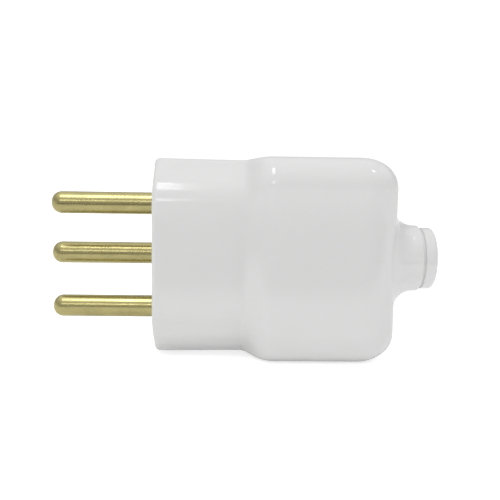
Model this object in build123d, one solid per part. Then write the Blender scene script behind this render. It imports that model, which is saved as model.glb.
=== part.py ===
"""Rewireable three-pin mains plug: two moulded half shells, three turned pins, a cord clamp and its screws.

X runs along the plug, from the pins at -X to the cord neck at +X. Y runs across its thickness and Z is up.
The origin is the centre of the engagement face, on the parting plane and midway between line and neutral.
"""

import os
from math import sqrt

from build123d import *

# Pins: the round-pin pattern of the 10 A plug
PIN_DIAMETER = 4.0
PIN_REACH = 18.7
EARTH_LEAD = 0.7
PIN_SPACING = 19.0
EARTH_OFFSET = 3.0
PIN_TIP_RADIUS = 1.8
COLLAR_DIAMETER = 4.8
TERMINAL_DIAMETER = 5.6
TERMINAL_LENGTH = 11.5
TERMINAL_CHAMFER = 0.4
WIRE_HOLE_DIAMETER = 2.8
WIRE_HOLE_DEPTH = 8.0

# Nose: the six-sided part that enters the socket's recess
FACE_HEIGHT = 35.4
FACE_FLAT = 24.1
FACE_THICKNESS = 16.0
APEX_FLAT = 3.0
APEX_RADIUS = 2.4
FACE_CORNER_RADIUS = 6.5
FACE_EDGE_RADIUS = 0.9
NOSE_WAIST = 0.18

# Shoulder: where the six sides swell into the grip, and in how many steps it is drawn
SHOULDER_START = 15.6
SHOULDER_LENGTH = 6.2
SHOULDER_STEPS = 8

# Grip: the thicker part that the fingers hold
BODY_LENGTH = 43.1
GRIP_HEIGHT = 36.6
GRIP_THICKNESS = 20.0
ROUNDING_DEPTH = 5.0
REAR_ROUNDING = 6.5
GRIP_EDGE_EXTRA = 0.2
GRIP_EDGE_FLAT = 0.25

# Neck: the ringed end where the cord enters
NECK_LENGTH = 7.75
NECK_DIAMETER = 11.4
NECK_RING_HEIGHT = 0.4
NECK_RING_WIDTH = 5.0
NECK_GROOVE_WIDTH = 0.5
NECK_GROOVE_DEPTH = 0.3
NECK_EDGE_RADIUS = 0.25
NECK_FILLET = 4.4
NECK_END_RADIUS = 0.8
CORD_HOLE_DIAMETER = 8.0

# Moulding: walls, ribs, the parting line and the two locating pegs
WALL = 2.0
FRONT_WALL = 3.5
RIB = 1.2
STOP_WALL = 1.5
TERMINAL_SEAT = 1.5
PARTING_GAP = 0.1
PEG_DIAMETER = 2.2
PEG_REACH = 2.5

# Closing screw and its square nut
CLOSING_SCREW_DIAMETER = 3.0
CLOSING_HEAD_DIAMETER = 5.6
CLOSING_HEAD_HEIGHT = 2.2
HEAD_RECESS_DEPTH = 4.0
NUT_WIDTH = 5.5
NUT_THICKNESS = 1.8
NUT_DEPTH = 4.0

# Terminal screws
TERMINAL_SCREW_DIAMETER = 2.9
TERMINAL_HEAD_DIAMETER = 4.2
TERMINAL_HEAD_HEIGHT = 1.4
TERMINAL_SCREW_STAND = 0.3

# Cord clamp and its two screws
CORD_DIAMETER = 7.0
CLAMP_WIDTH = 6.0
CLAMP_THICKNESS = 2.2
CLAMP_SCREW_SPACING = 16.0
CLAMP_SCREW_DIAMETER = 2.9
CLAMP_SCREW_LENGTH = 8.0
CLAMP_HEAD_DIAMETER = 5.0
CLAMP_HEAD_HEIGHT = 1.8

# Screw heads: their rounding and the slots that the driver enters
HEAD_ROUNDING = 0.6
SLOT_WIDTH = 0.8
SLOT_DEPTH = 0.8

# Clearances between pieces
SEAT_CLEARANCE = 0.05
THREAD_CLEARANCE = 0.05
SLIDE_CLEARANCE = 0.1
HEAD_CLEARANCE = 0.3

# How far a cutting shape runs past what it cuts
MARGIN = 1.0

# Places worked out from the sizes above
PIN_R = PIN_DIAMETER / 2
COLLAR_R = COLLAR_DIAMETER / 2
COLLAR_SEAT_R = COLLAR_R + SEAT_CLEARANCE
TERMINAL_R = TERMINAL_DIAMETER / 2
TERMINAL_SEAT_R = TERMINAL_R + SEAT_CLEARANCE
WIRE_WAY_R = WIRE_HOLE_DIAMETER / 2 + RIB / 2
TERMINAL_START = FRONT_WALL + SEAT_CLEARANCE
TERMINAL_END = TERMINAL_START + TERMINAL_LENGTH
STOP_START = TERMINAL_END - TERMINAL_SEAT
STOP_FACE = TERMINAL_END + SEAT_CLEARANCE
STOP_END = STOP_FACE + STOP_WALL
TERMINAL_SCREW_X = TERMINAL_END - WIRE_HOLE_DEPTH / 2
SHOULDER_END = SHOULDER_START + SHOULDER_LENGTH
GRIP_EDGE_RADIUS = ROUNDING_DEPTH + GRIP_EDGE_EXTRA
GRIP_EDGE_CUT = GRIP_EDGE_RADIUS * (2 - sqrt(2)) + GRIP_EDGE_FLAT / sqrt(2)
HALF_THICKNESS = GRIP_THICKNESS / 2
INNER_DEPTH = HALF_THICKNESS - WALL
INNER_HEIGHT = GRIP_HEIGHT - 2 * WALL
GRIP_ROOM_X = SHOULDER_START + SHOULDER_LENGTH / 2
ROOM_END_X = BODY_LENGTH - WALL
NECK_END_X = BODY_LENGTH + NECK_LENGTH
CLAMP_X = ROOM_END_X - CLAMP_WIDTH / 2 - RIB
CLAMP_BOSS_R = CLAMP_SCREW_DIAMETER / 2 + RIB
CLAMP_SEAT_Y = -CLAMP_THICKNESS / 4
CLAMP_TOP_Y = CLAMP_SEAT_Y - CLAMP_THICKNESS
CLAMP_TIP_Y = CLAMP_TOP_Y + CLAMP_SCREW_LENGTH
CLAMP_ARCH_R = CORD_DIAMETER / 2 + SLIDE_CLEARANCE
RECESS_R = CLOSING_HEAD_DIAMETER / 2 + HEAD_CLEARANCE
CLOSING_BOSS_R = RECESS_R + RIB
CLOSING_X = CLAMP_X - CLAMP_WIDTH / 2 - CLOSING_BOSS_R - RIB / 2
CLOSING_HEAD_Y = HALF_THICKNESS - HEAD_RECESS_DEPTH
CLOSING_TIP_Y = -INNER_DEPTH + RIB / 2
CLOSING_HOLE_R = CLOSING_SCREW_DIAMETER / 2 + 2 * SLIDE_CLEARANCE
NUT_SLOT = NUT_WIDTH / 2 + SLIDE_CLEARANCE
NUT_BLOCK = NUT_SLOT + RIB
PEG_X = (GRIP_ROOM_X + CLOSING_X) / 2
PEG_Z = INNER_HEIGHT / 2 - PEG_DIAMETER
PEG_POST_R = PEG_DIAMETER / 2 + RIB

# Sections across X: thickness, height, side flat, end flat, and the corners' radii at the sides and ends
FACE_SIZES = (FACE_THICKNESS, FACE_HEIGHT, FACE_FLAT, APEX_FLAT, FACE_CORNER_RADIUS, APEX_RADIUS)
WAIST_SIZES = (FACE_THICKNESS - 2 * NOSE_WAIST, FACE_HEIGHT - 2 * NOSE_WAIST) + FACE_SIZES[2:]
TERMINAL_ROOM_SIZES = (
    FACE_THICKNESS - 2 * WALL,
    FACE_HEIGHT - 2 * WALL,
    FACE_FLAT - WALL,
    APEX_FLAT / 2,
    FACE_CORNER_RADIUS - WALL,
    APEX_RADIUS / 2,
)
GRIP_SIZES = (
    GRIP_THICKNESS,
    GRIP_HEIGHT,
    GRIP_HEIGHT - 2 * GRIP_EDGE_CUT,
    GRIP_THICKNESS - 2 * GRIP_EDGE_CUT,
    GRIP_EDGE_RADIUS,
    GRIP_EDGE_RADIUS,
)

# Each pin's place across the face: (y, z)
PIN_PLACES = {
    "line": (0.0, PIN_SPACING / 2),
    "neutral": (0.0, -PIN_SPACING / 2),
    "earth": (EARTH_OFFSET, 0.0),
}

# How far each pin stands out of the face: earth connects first
PIN_REACHES = {"line": PIN_REACH, "neutral": PIN_REACH, "earth": PIN_REACH + EARTH_LEAD}

# The two clamp screws' heights
CLAMP_SCREWS = {"upper": CLAMP_SCREW_SPACING / 2, "lower": -CLAMP_SCREW_SPACING / 2}


def rod_along_x(radius, start, end, y=0.0, z=0.0):
    """A round bar along X."""
    return Plane.YZ.offset(start) * Pos(y, z) * extrude(Circle(radius), end - start)


def rod_along_y(radius, start, end, x, z=0.0):
    """A round bar along Y."""
    foot = Plane(origin=(x, start, z), x_dir=(1, 0, 0), z_dir=(0, 1, 0))
    return foot * extrude(Circle(radius), end - start)


def block(x, y, z):
    """A box between the pair of limits given on each axis."""
    limits = [sorted(pair) for pair in (x, y, z)]
    middle = [(low + high) / 2 for low, high in limits]
    return Pos(*middle) * Box(*[high - low for low, high in limits])


def section_at(x, sizes):
    """A section across X with flat sides and ends, sloping faces between them and rounded corners."""
    thickness, height, side_flat, end_flat, side_radius, end_radius = sizes
    corners = [
        (end_flat / 2, height / 2),
        (-end_flat / 2, height / 2),
        (-thickness / 2, side_flat / 2),
        (-thickness / 2, -side_flat / 2),
        (-end_flat / 2, -height / 2),
        (end_flat / 2, -height / 2),
        (thickness / 2, -side_flat / 2),
        (thickness / 2, side_flat / 2),
    ]
    section = make_face(Polyline(*corners, close=True))
    by_height = section.vertices().sort_by(Axis.Y)
    section = fillet(by_height[:2] + by_height[-2:], end_radius)
    sides = [v for v in section.vertices() if abs(v.X) > (thickness - MARGIN) / 2]
    return Plane.YZ.offset(x) * fillet(sides, side_radius)


def shoulder():
    """The blend from the nose's waist to the grip: flush with both, and steepest a third of the way."""
    sections = []
    for step in range(SHOULDER_STEPS + 1):
        along = step / SHOULDER_STEPS
        share = along**2 * (6 - 8 * along + 3 * along**2)
        sizes = [low + (high - low) * share for low, high in zip(WAIST_SIZES, GRIP_SIZES)]
        sections.append(section_at(SHOULDER_START + along * SHOULDER_LENGTH, sizes))
    return loft(sections)


def rear_rim_cut():
    """What curves the grip's rim in towards the rear, along a quarter ellipse."""
    rim = section_at(BODY_LENGTH - REAR_ROUNDING, GRIP_SIZES).wire()
    rearward = Vector(1, 0, 0)
    section = Plane(origin=rim @ 0, x_dir=rearward, z_dir=rearward.cross(rearward.cross(rim % 0)))
    arc = EllipticalCenterArc(
        (0, ROUNDING_DEPTH), REAR_ROUNDING, ROUNDING_DEPTH, start_angle=-90, arc_size=90
    )
    past = REAR_ROUNDING + MARGIN
    sides = Polyline(arc @ 1, (past, ROUNDING_DEPTH), (past, -MARGIN), (0, -MARGIN), arc @ 0)
    return sweep(section * make_face([arc, sides]), path=rim)


def outer_body():
    """The plug's whole outside: nose, shoulder, grip and ringed neck."""
    nose = loft([section_at(0, FACE_SIZES), section_at(SHOULDER_START, WAIST_SIZES)], ruled=True)
    nose = fillet(nose.faces().sort_by(Axis.X)[0].edges(), FACE_EDGE_RADIUS)
    grip = extrude(section_at(SHOULDER_END, GRIP_SIZES), BODY_LENGTH - SHOULDER_END)
    body = nose + shoulder() + (grip - rear_rim_cut())
    neck_r = NECK_DIAMETER / 2
    ring_end = BODY_LENGTH + NECK_RING_WIDTH
    ring = rod_along_x(neck_r + NECK_RING_HEIGHT, ROOM_END_X, ring_end)
    ring = fillet(ring.edges().sort_by(Axis.X)[-1], NECK_EDGE_RADIUS)
    ringed = body + ring
    ringed = fillet(new_edges(body, ring, combined=ringed), NECK_FILLET)
    groove = rod_along_x(neck_r - NECK_GROOVE_DEPTH, ROOM_END_X, NECK_END_X - NECK_END_RADIUS)
    end = rod_along_x(neck_r, ring_end + NECK_GROOVE_WIDTH, NECK_END_X)
    end = fillet(end.edges().sort_by(Axis.X)[0], NECK_EDGE_RADIUS)
    end = fillet(end.edges().sort_by(Axis.X)[-1], NECK_END_RADIUS)
    return ringed + groove + end


def inner_room():
    """The room inside: the terminal chamber, the wiring chamber and the cord hole."""
    terminal_end = GRIP_ROOM_X + ROUNDING_DEPTH
    terminals = extrude(section_at(FRONT_WALL, TERMINAL_ROOM_SIZES), terminal_end - FRONT_WALL)
    across = RectangleRounded(2 * INNER_DEPTH, INNER_HEIGHT, GRIP_EDGE_RADIUS - WALL)
    wiring = extrude(Plane.YZ.offset(GRIP_ROOM_X) * across, ROOM_END_X - GRIP_ROOM_X)
    wiring = fillet(wiring.faces().filter_by(Axis.X).edges(), ROUNDING_DEPTH - WALL)
    cord = rod_along_x(CORD_HOLE_DIAMETER / 2, ROOM_END_X - WALL, NECK_END_X)
    return terminals + wiring + cord


def half_shell(body, room, side):
    """One half of the empty shell: side is 1 for the base at +Y and -1 for the cover at -Y."""
    far = side * GRIP_THICKNESS
    along = (-MARGIN, NECK_END_X + MARGIN)
    half = block(along, (side * PARTING_GAP / 2, far), (-GRIP_HEIGHT, GRIP_HEIGHT))
    return (body - room) & half


def pin_walls(room, side):
    """The walls inside one half that keep the pins apart and hold their terminals from behind."""
    far = side * GRIP_THICKNESS
    walls = block((STOP_START, STOP_END), (0, far), (-GRIP_HEIGHT, GRIP_HEIGHT))
    for z in (-PIN_SPACING / 4, PIN_SPACING / 4):
        walls += block((FRONT_WALL, STOP_END), (0, far), (z - RIB / 2, z + RIB / 2))
    return walls & room


def pin_ways():
    """What the three pins, their terminals and their wires take out of the walls."""
    steps = [
        (COLLAR_SEAT_R, -MARGIN, TERMINAL_START),
        (TERMINAL_SEAT_R, FRONT_WALL, STOP_FACE),
        (WIRE_WAY_R, STOP_START, STOP_END + MARGIN),
    ]
    ways = []
    for y, z in PIN_PLACES.values():
        for radius, start, end in steps:
            ways.append(rod_along_x(radius, start, end, y, z))
            if y:
                ways.append(block((start, end), (0, y), (z - radius, z + radius)))
    return Compound(ways)


def base_shell(body, room):
    """The back half: it carries the pins, the cord clamp and the closing screw's head."""
    shell = half_shell(body, room, 1) + pin_walls(room, 1)
    floor = INNER_DEPTH + WALL / 2
    shell += rod_along_y(CLOSING_BOSS_R, 0, floor, CLOSING_X)
    saddle = CLAMP_SCREW_SPACING / 2
    for x in (CLAMP_X - CLAMP_WIDTH / 2, CLAMP_X + CLAMP_WIDTH / 2 - RIB):
        shell += block((x, x + RIB), (0, floor), (-saddle, saddle))
    for z in CLAMP_SCREWS.values():
        shell += rod_along_y(CLAMP_BOSS_R, CLAMP_SEAT_Y, floor, CLAMP_X, z)
    for z in (-PEG_Z, PEG_Z):
        shell += rod_along_y(PEG_POST_R, 0, floor, PEG_X, z) & room
        shell += rod_along_y(PEG_DIAMETER / 2, -PEG_REACH, floor, PEG_X, z)
    shell -= pin_ways()
    shell -= rod_along_y(RECESS_R, CLOSING_HEAD_Y, GRIP_THICKNESS, CLOSING_X)
    shell -= rod_along_y(CLOSING_HOLE_R, -MARGIN, CLOSING_HEAD_Y, CLOSING_X)
    shell -= rod_along_x(CLAMP_ARCH_R, CLOSING_X + CLOSING_BOSS_R, NECK_END_X)
    screw_hole_r = CLAMP_SCREW_DIAMETER / 2 + THREAD_CLEARANCE
    for z in CLAMP_SCREWS.values():
        shell -= rod_along_y(screw_hole_r, CLAMP_SEAT_Y, CLAMP_TIP_Y + RIB / 2, CLAMP_X, z)
    return shell


def cover_shell(body, room):
    """The front half: it closes over the pins, keys the earth pin down and holds the nut."""
    shell = half_shell(body, room, -1) + pin_walls(room, -1)
    floor = -INNER_DEPTH - WALL / 2
    across = (CLOSING_X - NUT_BLOCK, CLOSING_X + NUT_BLOCK)
    shell += block(across, (floor, 0), (-NUT_BLOCK, NUT_BLOCK))
    for z in (-PEG_Z, PEG_Z):
        shell += rod_along_y(PEG_POST_R, floor, 0, PEG_X, z) & room
        shell -= rod_along_y(PEG_DIAMETER / 2 + SLIDE_CLEARANCE, -PEG_REACH - RIB / 2, 0, PEG_X, z)
    key = COLLAR_SEAT_R - SLIDE_CLEARANCE
    shell += block((0, FRONT_WALL), (-WALL, EARTH_OFFSET / 2), (-key, key))
    shell -= pin_ways()
    shell -= rod_along_y(CLOSING_HOLE_R, -INNER_DEPTH, 0, CLOSING_X)
    nut_way = (CLOSING_X - NUT_BLOCK, CLOSING_X + NUT_SLOT)
    nut_room = (-NUT_DEPTH - NUT_THICKNESS - SLIDE_CLEARANCE, -NUT_DEPTH)
    shell -= block(nut_way, nut_room, (-NUT_SLOT, NUT_SLOT))
    return shell


def pin(place, reach):
    """A turned pin: the contact, the collar in the front wall, and the terminal with its two holes."""
    y, z = place
    tip = (-reach, PIN_R)
    back = (TERMINAL_END, TERMINAL_R)
    outline = [
        (-reach, 0),
        tip,
        (SEAT_CLEARANCE, PIN_R),
        (SEAT_CLEARANCE, COLLAR_R),
        (TERMINAL_START, COLLAR_R),
        (TERMINAL_START, TERMINAL_R),
        back,
        (TERMINAL_END, 0),
    ]
    profile = make_face(Polyline(*outline, close=True))
    profile = fillet(profile.vertices().sort_by_distance(tip)[0], PIN_TIP_RADIUS)
    profile = chamfer(profile.vertices().sort_by_distance(back)[0], TERMINAL_CHAMFER)
    turned = Pos(0, y, z) * revolve(profile, Axis.X)
    wire_hole = rod_along_x(WIRE_HOLE_DIAMETER / 2, TERMINAL_END - WIRE_HOLE_DEPTH, TERMINAL_END, y, z)
    screw_r = TERMINAL_SCREW_DIAMETER / 2 + THREAD_CLEARANCE
    screw_hole = rod_along_y(screw_r, y - TERMINAL_DIAMETER, y, TERMINAL_SCREW_X, z)
    return turned - wire_hole - screw_hole


def screw(x, z, seat, tip, diameter, head_diameter, head_height, slots):
    """A screw along Y with a rounded head. The head's underside is at seat, and slots holds angles."""
    outward = -1 if tip > seat else 1
    top = seat + outward * head_height
    head = rod_along_y(head_diameter / 2, min(seat, top), max(seat, top), x, z)
    rim = head.edges().filter_by(GeomType.CIRCLE).sort_by(Axis.Y)[0 if outward < 0 else -1]
    head = fillet(rim, HEAD_ROUNDING)
    shank = rod_along_y(diameter / 2, min(seat, tip), max(seat, tip), x, z)
    slot = Box(head_diameter - HEAD_ROUNDING, 2 * SLOT_DEPTH, SLOT_WIDTH)
    made = head + shank
    for angle in slots:
        made -= Pos(x, top, z) * Rot(0, angle, 0) * slot
    return made


def terminal_screw(place):
    """A slotted screw that stands open over the wire hole of one terminal."""
    y, z = place
    seat = y - TERMINAL_R - TERMINAL_SCREW_STAND
    sizes = (TERMINAL_SCREW_DIAMETER, TERMINAL_HEAD_DIAMETER, TERMINAL_HEAD_HEIGHT)
    return screw(TERMINAL_SCREW_X, z, seat, y, *sizes, slots=[0])


def cord_clamp():
    """The bar that bridges the cord and presses it into its saddle."""
    reach = CLAMP_SCREW_SPACING / 2 + CLAMP_HEAD_DIAMETER / 2
    across = (CLAMP_X - CLAMP_WIDTH / 2, CLAMP_X + CLAMP_WIDTH / 2)
    bar = block(across, (CLAMP_TOP_Y, CLAMP_SEAT_Y), (-reach, reach))
    bar = fillet(bar.edges().filter_by(Axis.Y), CLAMP_THICKNESS / 2)
    arch = rod_along_x(CLAMP_ARCH_R + CLAMP_THICKNESS, *across)
    arch &= block(across, (CLAMP_SEAT_Y, -GRIP_THICKNESS), (-reach, reach))
    bar = bar + arch - rod_along_x(CLAMP_ARCH_R, *across)
    hole_r = CLAMP_SCREW_DIAMETER / 2 + SLIDE_CLEARANCE
    for z in CLAMP_SCREWS.values():
        bar -= rod_along_y(hole_r, CLAMP_TOP_Y, CLAMP_SEAT_Y, CLAMP_X, z)
    return bar


def clamp_screw(z):
    """One of the two screws that draw the clamp down on the cord."""
    sizes = (CLAMP_SCREW_DIAMETER, CLAMP_HEAD_DIAMETER, CLAMP_HEAD_HEIGHT)
    return screw(CLAMP_X, z, CLAMP_TOP_Y, CLAMP_TIP_Y, *sizes, slots=[0, 90])


def closing_screw():
    """The screw that enters the base and draws the cover on by its nut."""
    sizes = (CLOSING_SCREW_DIAMETER, CLOSING_HEAD_DIAMETER, CLOSING_HEAD_HEIGHT)
    return screw(CLOSING_X, 0.0, CLOSING_HEAD_Y, CLOSING_TIP_Y, *sizes, slots=[45, 135])


def closing_nut():
    """The square nut, drawn against the upper wall of its slot in the cover."""
    across = (CLOSING_X - NUT_WIDTH / 2, CLOSING_X + NUT_WIDTH / 2)
    depth = (-NUT_DEPTH - NUT_THICKNESS, -NUT_DEPTH)
    nut = block(across, depth, (-NUT_WIDTH / 2, NUT_WIDTH / 2))
    return nut - rod_along_y(CLOSING_SCREW_DIAMETER / 2 + THREAD_CLEARANCE, *depth, CLOSING_X)


def all_pieces():
    """Every piece by its name."""
    body = outer_body()
    room = inner_room()
    pieces = {
        "base_shell": base_shell(body, room),
        "cover_shell": cover_shell(body, room),
        "cord_clamp": cord_clamp(),
        "closing_screw": closing_screw(),
        "closing_nut": closing_nut(),
    }
    for name, place in PIN_PLACES.items():
        pieces[f"{name}_pin"] = pin(place, PIN_REACHES[name])
        pieces[f"{name}_terminal_screw"] = terminal_screw(place)
    for name, z in CLAMP_SCREWS.items():
        pieces[f"clamp_screw_{name}"] = clamp_screw(z)
    return pieces


os.makedirs("parts", exist_ok=True)
for name, piece in all_pieces().items():
    export_step(piece, f"parts/{name}.step")
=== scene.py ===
"""The three-pin plug's looks: white moulded shells, turned brass pins and plated screws, on a pale floor."""

import math

import bmesh
import bpy
from mathutils import Matrix, Vector


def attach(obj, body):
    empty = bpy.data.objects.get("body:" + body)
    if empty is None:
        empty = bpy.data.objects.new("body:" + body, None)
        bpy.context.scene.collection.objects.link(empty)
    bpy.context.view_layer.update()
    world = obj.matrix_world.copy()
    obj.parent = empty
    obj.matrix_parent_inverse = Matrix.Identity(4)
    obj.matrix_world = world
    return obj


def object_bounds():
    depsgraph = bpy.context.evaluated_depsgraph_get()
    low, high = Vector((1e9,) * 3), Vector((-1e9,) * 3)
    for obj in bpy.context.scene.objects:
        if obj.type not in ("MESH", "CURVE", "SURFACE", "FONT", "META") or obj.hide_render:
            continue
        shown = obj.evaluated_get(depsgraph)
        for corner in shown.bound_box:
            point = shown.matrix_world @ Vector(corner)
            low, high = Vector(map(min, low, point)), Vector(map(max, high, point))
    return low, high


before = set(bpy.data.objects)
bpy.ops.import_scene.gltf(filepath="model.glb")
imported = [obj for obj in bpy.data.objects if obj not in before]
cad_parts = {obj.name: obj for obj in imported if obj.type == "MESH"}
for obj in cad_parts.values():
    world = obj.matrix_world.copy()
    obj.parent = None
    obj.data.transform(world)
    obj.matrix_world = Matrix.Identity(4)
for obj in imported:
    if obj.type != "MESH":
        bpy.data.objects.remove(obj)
cad_low, cad_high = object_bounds()

# Which pieces have which finish. The rest are steel.
SHELLS = ["base_shell", "cover_shell"]
PINS = ["line_pin", "neutral_pin", "earth_pin"]
CLAMPS = ["cord_clamp"]

# Moulded skin: how fine its slow tone and its clouding are, their shares in the colour's changes,
# and how much of the clouding goes into the relief
SLOW_FINENESS = 70.0
CLOUD_FINENESS = 420.0
SLOW_SHARE = 0.6
CLOUD_SHARE = 0.4
CLOUD_RELIEF = 1.5

# Tool marks: how fine the rings, streaks and patches are, how they are drawn out along X, Y and Z,
# how much of the streaks goes into the relief, and where wear begins and is complete
RING_FINENESS = 5200.0
RING_STRETCH = (1, 0.02, 0.02)
STREAK_FINENESS = 2600.0
STREAK_STRETCH = (0.06, 1, 1)
STREAK_RELIEF = 0.6
PATCH_FINENESS = 260.0
WEAR_BEGINS = 0.18
WEAR_COMPLETE = 0.42

# Noise that isn't drawn out, and the middle of its range
EVEN = (1, 1, 1)
NOISE_MIDDLE = 0.5

# A mix node's sockets for two colours and their blend, which share their names with its other sockets
MIX_FIRST_COLOUR = 6
MIX_SECOND_COLOUR = 7
MIX_BLEND = 2

# Earth key, in metres: where the earth pin's axis lies, the round that the key leaves for its collar,
# half the key's width, how deep it reaches behind the face, and the steps in its hollow
EARTH_OFFSET = 0.0030
COLLAR_WAY_RADIUS = 0.00245
KEY_HALF_WIDTH = 0.00235
KEY_DEPTH = 0.0035
KEY_STEPS = 32

# Camera: where it looks, in metres, how it stands to the plug, and the nearest that it sees
LOOK_AT = Vector((0.0173, 0.0, 0.00115))
CAMERA_DISTANCE = 0.130
CAMERA_AZIMUTH = -1.8
CAMERA_ELEVATION = 7.3
CAMERA_ROLL = 0.9
CAMERA_NEAREST = 0.0013
PICTURE_PIXELS = 500
PIXELS_PER_METRE = 5427.0
SENSOR = 36.0

# Sky: its brightness low down and overhead, how much more comes from the left, the bright band at its
# horizon, how much stronger that is at the back, how high it reaches and how it fades, and the white
# that the camera sees
SKY_RIM = 0.10
SKY_LEFT_GAIN = 0.095
SKY_TOP = 1.16
HORIZON_GAIN = 0.80
HORIZON_BACK_GAIN = 0.30
HORIZON_BAND = 0.45
HORIZON_FADE = 2.0
BACKDROP_WHITE = 1.03

# Floor: its size, its own glow and what the camera sees on top of that, and its paper's tones and grain
FLOOR_RADIUS = 3.0
FLOOR_SIDES = 96
FLOOR_GLOW = 0.15
FLOOR_EYE_GLOW = 0.40
PAPER_TONES = (0.90, 0.93)
PAPER_FINENESS = 300.0

# Lamps: each one's place, how far it tilts from facing straight down, its width and depth, and its power
LAMPS = {
    "left lamp": ((-0.07, -0.16, 0.42), 0, 0.10, 0.22, 0.32),
    "right lamp": ((0.235, -0.09, 0.42), 0, 0.05, 0.05, 0.06),
    "rear lamp": ((0.40, 0.12, 0.30), 0, 0.30, 0.30, 0.08),
    "front lamp": ((-0.10, -0.50, 0.23), 65, 0.16, 0.07, 0.13),
}

# Dark card: its size, how near it comes to the plug, how far it lies off the floor, and its tone
CARD_WIDTH = 0.60
CARD_DEPTH = 0.30
CARD_NEAR = 0.075
CARD_LIFT = 0.0005
CARD_TONE = (0.12, 0.12, 0.12, 1)

# Paper and card have no gloss
MATT = 0.9
WHITE = (1, 1, 1, 1)


def new_group(name, inputs, outputs):
    """An empty shader node group. Inputs are (name, kind, start value) and outputs are (name, kind)."""
    group = bpy.data.node_groups.new(name, "ShaderNodeTree")
    for socket, kind, start in inputs:
        made = group.interface.new_socket(name=socket, in_out="INPUT", socket_type=kind)
        made.default_value = start
    for socket, kind in outputs:
        group.interface.new_socket(name=socket, in_out="OUTPUT", socket_type=kind)
    entry = group.nodes.new("NodeGroupInput")
    leave = group.nodes.new("NodeGroupOutput")
    return group, entry, leave


def add(tree, kind, **values):
    """A node with its properties set."""
    node = tree.nodes.new(kind)
    for name, value in values.items():
        setattr(node, name, value)
    return node


def join(tree, start, end):
    """A link from an output socket to an input socket."""
    tree.links.new(start, end)


def maths(tree, operation, *sides):
    """A maths node's output. Each side is a socket or a number."""
    node = add(tree, "ShaderNodeMath", operation=operation)
    for socket, side in zip(node.inputs, sides):
        if isinstance(side, (int, float)):
            socket.default_value = side
        else:
            join(tree, side, socket)
    return node.outputs[0]


def stretched_noise(tree, place, stretch, fineness, detail=3.0, roughness=0.55):
    """Noise in the object's own space, stretched along X, Y and Z."""
    mapping = add(tree, "ShaderNodeMapping")
    mapping.inputs["Scale"].default_value = stretch
    join(tree, place, mapping.inputs["Vector"])
    noise = add(tree, "ShaderNodeTexNoise")
    noise.inputs["Scale"].default_value = fineness
    noise.inputs["Detail"].default_value = detail
    noise.inputs["Roughness"].default_value = roughness
    join(tree, mapping.outputs["Vector"], noise.inputs["Vector"])
    return noise.outputs["Fac"]


def between(tree, value, low, high, begins=0.0, complete=1.0):
    """A value's range from begins to complete, spread over the range from low to high."""
    node = add(tree, "ShaderNodeMapRange")
    node.inputs["From Min"].default_value = begins
    node.inputs["From Max"].default_value = complete
    node.inputs["To Min"].default_value = low
    node.inputs["To Max"].default_value = high
    join(tree, value, node.inputs["Value"])
    return node.outputs["Result"]


def swing(tree, noise, size):
    """Noise moved to either side of zero, and scaled to a size."""
    return maths(tree, "MULTIPLY", maths(tree, "SUBTRACT", noise, NOISE_MIDDLE), size)


def moulded_skin_group():
    """Moulded plastic's skin: slow changes of tone, the mould's fine grain, and gloss that comes and goes."""
    group, entry, leave = new_group(
        "moulded skin",
        [
            ("Colour", "NodeSocketColor", (0.8, 0.8, 0.8, 1.0)),
            ("Tone change", "NodeSocketFloat", 0.02),
            ("Gloss middle", "NodeSocketFloat", 0.35),
            ("Gloss change", "NodeSocketFloat", 0.05),
            ("Grain size", "NodeSocketFloat", 2600.0),
        ],
        [("Colour", "NodeSocketColor"), ("Roughness", "NodeSocketFloat"), ("Height", "NodeSocketFloat")],
    )
    place = add(group, "ShaderNodeTexCoord").outputs["Object"]
    slow = stretched_noise(group, place, EVEN, SLOW_FINENESS)
    cloud = stretched_noise(group, place, EVEN, CLOUD_FINENESS, 5.0)
    grain = add(group, "ShaderNodeTexNoise")
    grain.inputs["Detail"].default_value = 2.0
    join(group, place, grain.inputs["Vector"])
    join(group, entry.outputs["Grain size"], grain.inputs["Scale"])

    tone = maths(group, "MULTIPLY_ADD", cloud, CLOUD_SHARE, maths(group, "MULTIPLY", slow, SLOW_SHARE))
    factor = maths(group, "ADD", swing(group, tone, entry.outputs["Tone change"]), 1.0)
    tint = add(group, "ShaderNodeVectorMath", operation="SCALE")
    join(group, entry.outputs["Colour"], tint.inputs[0])
    join(group, factor, tint.inputs["Scale"])
    drift = swing(group, cloud, entry.outputs["Gloss change"])
    gloss = maths(group, "ADD", drift, entry.outputs["Gloss middle"])
    height = maths(group, "ADD", grain.outputs["Fac"], maths(group, "MULTIPLY", cloud, CLOUD_RELIEF))

    join(group, tint.outputs["Vector"], leave.inputs["Colour"])
    join(group, gloss, leave.inputs["Roughness"])
    join(group, height, leave.inputs["Height"])
    return group


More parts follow.
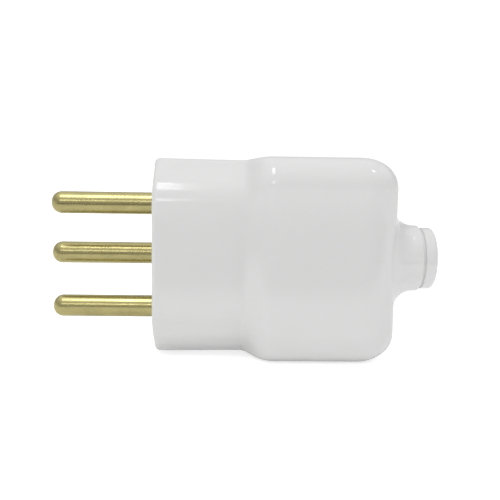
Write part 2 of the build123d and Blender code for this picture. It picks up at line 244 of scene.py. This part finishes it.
def tool_marks_group():
    """Turned metal: fine rings round the X axis, rubbed streaks along it, and dull patches from handling."""
    group, entry, leave = new_group(
        "tool marks",
        [
            ("Bright", "NodeSocketColor", (0.8, 0.74, 0.36, 1.0)),
            ("Dull", "NodeSocketColor", (0.55, 0.47, 0.24, 1.0)),
            ("Dullness", "NodeSocketFloat", 0.5),
            ("Gloss middle", "NodeSocketFloat", 0.28),
            ("Gloss change", "NodeSocketFloat", 0.2),
        ],
        [("Colour", "NodeSocketColor"), ("Roughness", "NodeSocketFloat"), ("Height", "NodeSocketFloat")],
    )
    place = add(group, "ShaderNodeTexCoord").outputs["Object"]
    rings = stretched_noise(group, place, RING_STRETCH, RING_FINENESS, 2.0)
    streaks = stretched_noise(group, place, STREAK_STRETCH, STREAK_FINENESS, 4.0, 0.7)
    patches = stretched_noise(group, place, EVEN, PATCH_FINENESS, 6.0, 0.6)

    rubbed = maths(group, "MULTIPLY", streaks, patches)
    worn = between(group, rubbed, 0.0, 1.0, WEAR_BEGINS, WEAR_COMPLETE)
    blend = add(group, "ShaderNodeMix", data_type="RGBA")
    join(group, maths(group, "MULTIPLY", worn, entry.outputs["Dullness"]), blend.inputs["Factor"])
    join(group, entry.outputs["Bright"], blend.inputs[MIX_FIRST_COLOUR])
    join(group, entry.outputs["Dull"], blend.inputs[MIX_SECOND_COLOUR])
    drift = swing(group, patches, entry.outputs["Gloss change"])
    gloss = maths(group, "ADD", drift, entry.outputs["Gloss middle"])
    height = maths(group, "ADD", rings, maths(group, "MULTIPLY", streaks, STREAK_RELIEF))

    join(group, blend.outputs[MIX_BLEND], leave.inputs["Colour"])
    join(group, gloss, leave.inputs["Roughness"])
    join(group, height, leave.inputs["Height"])
    return group


def finish_material(name, group, values, metallic, bump_strength, bump_depth, ior=1.5):
    """A material whose colour, gloss and fine relief come from one of the groups."""
    material = bpy.data.materials.new(name)
    material.use_nodes = True
    tree = material.node_tree
    shader = tree.nodes["Principled BSDF"]
    shader.inputs["Metallic"].default_value = metallic
    shader.inputs["IOR"].default_value = ior
    skin = add(tree, "ShaderNodeGroup", node_tree=group)
    for socket, value in values.items():
        skin.inputs[socket].default_value = value
    bump = add(tree, "ShaderNodeBump")
    bump.inputs["Strength"].default_value = bump_strength
    bump.inputs["Distance"].default_value = bump_depth
    join(tree, skin.outputs["Colour"], shader.inputs["Base Color"])
    join(tree, skin.outputs["Roughness"], shader.inputs["Roughness"])
    join(tree, skin.outputs["Height"], bump.inputs["Height"])
    join(tree, bump.outputs["Normal"], shader.inputs["Normal"])
    return material


def shell_plastic(skin):
    """White moulded plastic with a clear gloss."""
    values = {
        "Colour": (0.725, 0.725, 0.722, 1.0),
        "Tone change": 0.02,
        "Gloss middle": 0.12,
        "Gloss change": 0.05,
        "Grain size": 2600.0,
    }
    return finish_material(
        "shell plastic", skin, values, metallic=0.0, bump_strength=0.05, bump_depth=0.0001, ior=1.6
    )


def clamp_plastic(skin):
    """Off-white plastic with a matt, coarser skin."""
    values = {
        "Colour": (0.70, 0.69, 0.66, 1.0),
        "Tone change": 0.06,
        "Gloss middle": 0.55,
        "Gloss change": 0.12,
        "Grain size": 1500.0,
    }
    return finish_material("clamp plastic", skin, values, metallic=0.0, bump_strength=0.15, bump_depth=0.0001)


def pin_brass(marks):
    """Bare turned brass, a little dulled."""
    values = {
        "Bright": (0.47, 0.42, 0.192, 1.0),
        "Dull": (0.318, 0.272, 0.132, 1.0),
        "Dullness": 0.6,
        "Gloss middle": 0.26,
        "Gloss change": 0.20,
    }
    return finish_material("pin brass", marks, values, metallic=1.0, bump_strength=0.09, bump_depth=0.00004)


def screw_steel(marks):
    """Zinc-plated steel with a faint warm cast where it has dulled."""
    values = {
        "Bright": (0.66, 0.66, 0.67, 1.0),
        "Dull": (0.42, 0.41, 0.38, 1.0),
        "Dullness": 0.7,
        "Gloss middle": 0.34,
        "Gloss change": 0.20,
    }
    return finish_material("screw steel", marks, values, metallic=1.0, bump_strength=0.2, bump_depth=0.00004)


def dress_pieces():
    """Each piece gets its finish. The shells' plastic is given back for the key."""
    skin = moulded_skin_group()
    marks = tool_marks_group()
    plastic = shell_plastic(skin)
    clamp = clamp_plastic(skin)
    brass = pin_brass(marks)
    steel = screw_steel(marks)
    for name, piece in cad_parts.items():
        if name in SHELLS:
            chosen = plastic
        elif name in PINS:
            chosen = brass
        elif name in CLAMPS:
            chosen = clamp
        else:
            chosen = steel
        piece.data.materials.clear()
        piece.data.materials.append(chosen)
    return plastic


def earth_key(plastic):
    """The cover's tongue that fills the way by which the earth pin is laid in, up to the pin's collar."""
    rim = [(0.0, KEY_HALF_WIDTH), (0.0, -KEY_HALF_WIDTH)]
    for step in range(KEY_STEPS + 1):
        z = KEY_HALF_WIDTH * (2 * step / KEY_STEPS - 1)
        rim.append((EARTH_OFFSET - math.sqrt(COLLAR_WAY_RADIUS**2 - z**2), z))
    shape = bmesh.new()
    front = [shape.verts.new((0.0, y, z)) for y, z in rim]
    back = [shape.verts.new((KEY_DEPTH, y, z)) for y, z in rim]
    shape.faces.new(front)
    shape.faces.new(back[::-1])
    for here in range(len(rim)):
        there = (here + 1) % len(rim)
        shape.faces.new((front[there], front[here], back[here], back[there]))
    bmesh.ops.recalc_face_normals(shape, faces=shape.faces)
    mesh = bpy.data.meshes.new("earth_key")
    shape.to_mesh(mesh)
    shape.free()
    mesh.materials.append(plastic)
    key = bpy.data.objects.new("earth_key", mesh)
    bpy.context.scene.collection.objects.link(key)
    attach(key, "root")


def studio_floor():
    """A pale floor under the plug, wide enough to have no visible rim."""
    bpy.ops.mesh.primitive_circle_add(vertices=FLOOR_SIDES, radius=FLOOR_RADIUS, fill_type="NGON")
    floor = bpy.context.object
    floor.name = "studio_floor"
    floor.location = (0, 0, cad_low.z)
    material = bpy.data.materials.new("pale floor")
    material.use_nodes = True
    tree = material.node_tree
    shader = tree.nodes["Principled BSDF"]
    shader.inputs["Roughness"].default_value = MATT
    shader.inputs["Specular IOR Level"].default_value = 0.0
    shader.inputs["Emission Color"].default_value = WHITE
    eye = add(tree, "ShaderNodeLightPath").outputs["Is Camera Ray"]
    seen_glow = maths(tree, "MULTIPLY", eye, FLOOR_EYE_GLOW)
    join(tree, maths(tree, "ADD", seen_glow, FLOOR_GLOW), shader.inputs["Emission Strength"])
    place = add(tree, "ShaderNodeTexCoord").outputs["Object"]
    paper = between(tree, stretched_noise(tree, place, EVEN, PAPER_FINENESS), *PAPER_TONES)
    grey = add(tree, "ShaderNodeCombineColor")
    for channel in ("Red", "Green", "Blue"):
        join(tree, paper, grey.inputs[channel])
    join(tree, grey.outputs["Color"], shader.inputs["Base Color"])
    floor.data.materials.append(material)


def studio_sky():
    """Soft light: strong overhead and at the horizon, weaker between, with a plain white to look at."""
    world = bpy.data.worlds.new("studio sky")
    bpy.context.scene.world = world
    world.use_nodes = True
    tree = world.node_tree
    tree.nodes.clear()
    direction = add(tree, "ShaderNodeTexCoord").outputs["Generated"]
    split = add(tree, "ShaderNodeSeparateXYZ")
    join(tree, direction, split.inputs[0])

    rim = maths(tree, "ADD", maths(tree, "MULTIPLY", split.outputs["X"], -SKY_LEFT_GAIN), SKY_RIM)
    upward = maths(tree, "MAXIMUM", split.outputs["Z"], 0.0)
    rise = maths(tree, "MULTIPLY", upward, maths(tree, "SUBTRACT", SKY_TOP, rim))
    low_down = maths(tree, "SUBTRACT", 1.0, maths(tree, "MULTIPLY", upward, 1 / HORIZON_BAND))
    band = maths(tree, "POWER", maths(tree, "MAXIMUM", low_down, 0.0), HORIZON_FADE)
    to_back = maths(tree, "MULTIPLY", split.outputs["Y"], HORIZON_BACK_GAIN)
    haze = maths(tree, "MULTIPLY", band, maths(tree, "ADD", to_back, HORIZON_GAIN))
    glow = maths(tree, "ADD", maths(tree, "ADD", rim, rise), haze)

    lighting = add(tree, "ShaderNodeBackground")
    lighting.inputs["Color"].default_value = WHITE
    join(tree, glow, lighting.inputs["Strength"])
    seen = add(tree, "ShaderNodeBackground")
    seen.inputs["Color"].default_value = WHITE
    seen.inputs["Strength"].default_value = BACKDROP_WHITE
    eye = add(tree, "ShaderNodeLightPath").outputs["Is Camera Ray"]
    choice = add(tree, "ShaderNodeMixShader")
    join(tree, eye, choice.inputs[0])
    join(tree, lighting.outputs[0], choice.inputs[1])
    join(tree, seen.outputs[0], choice.inputs[2])
    join(tree, choice.outputs[0], add(tree, "ShaderNodeOutputWorld").inputs["Surface"])


def studio_lamps():
    """Soft lamps, which leave small highlights on the rounded edges and lines of light on the pins."""
    for name, (place, tilt, width, depth, power) in LAMPS.items():
        data = bpy.data.lights.new(name, "AREA")
        data.shape = "RECTANGLE"
        data.size = width
        data.size_y = depth
        data.energy = power
        lamp = bpy.data.objects.new(name, data)
        bpy.context.scene.collection.objects.link(lamp)
        lamp.location = place
        lamp.rotation_euler = (math.radians(tilt), 0, 0)
        lamp.visible_camera = False


def dark_card():
    """A dark card on the floor that only reflections see, and that gives the pins their dark middle line."""
    bpy.ops.mesh.primitive_plane_add(size=1)
    card = bpy.context.object
    card.name = "dark_card"
    card.scale = (CARD_WIDTH, CARD_DEPTH, 1)
    card.location = (LOOK_AT.x, -CARD_NEAR - CARD_DEPTH / 2, cad_low.z + CARD_LIFT)
    material = bpy.data.materials.new("dark card")
    material.use_nodes = True
    shader = material.node_tree.nodes["Principled BSDF"]
    shader.inputs["Base Color"].default_value = CARD_TONE
    shader.inputs["Roughness"].default_value = MATT
    card.data.materials.append(material)
    card.visible_camera = False
    card.visible_diffuse = False
    card.visible_shadow = False
    card.visible_transmission = False


def studio_camera():
    """The camera, a hand's width from the plug and a little above it."""
    azimuth = math.radians(CAMERA_AZIMUTH)
    elevation = math.radians(CAMERA_ELEVATION)
    back = Vector((
        math.sin(azimuth) * math.cos(elevation),
        -math.cos(azimuth) * math.cos(elevation),
        math.sin(elevation),
    ))
    data = bpy.data.cameras.new("camera")
    data.sensor_width = SENSOR
    data.lens = SENSOR * PIXELS_PER_METRE * CAMERA_DISTANCE / PICTURE_PIXELS
    data.clip_start = CAMERA_NEAREST
    camera = bpy.data.objects.new("camera", data)
    bpy.context.scene.collection.objects.link(camera)
    turn = (-back).to_track_quat("-Z", "Y").to_matrix().to_4x4()
    roll = Matrix.Rotation(math.radians(CAMERA_ROLL), 4, "Z")
    camera.matrix_world = Matrix.Translation(LOOK_AT + back * CAMERA_DISTANCE) @ turn @ roll
    bpy.context.scene.camera = camera


shell_finish = dress_pieces()
earth_key(shell_finish)
studio_floor()
studio_sky()
studio_lamps()
dark_card()
studio_camera()
bpy.context.scene.view_settings.view_transform = "Standard"
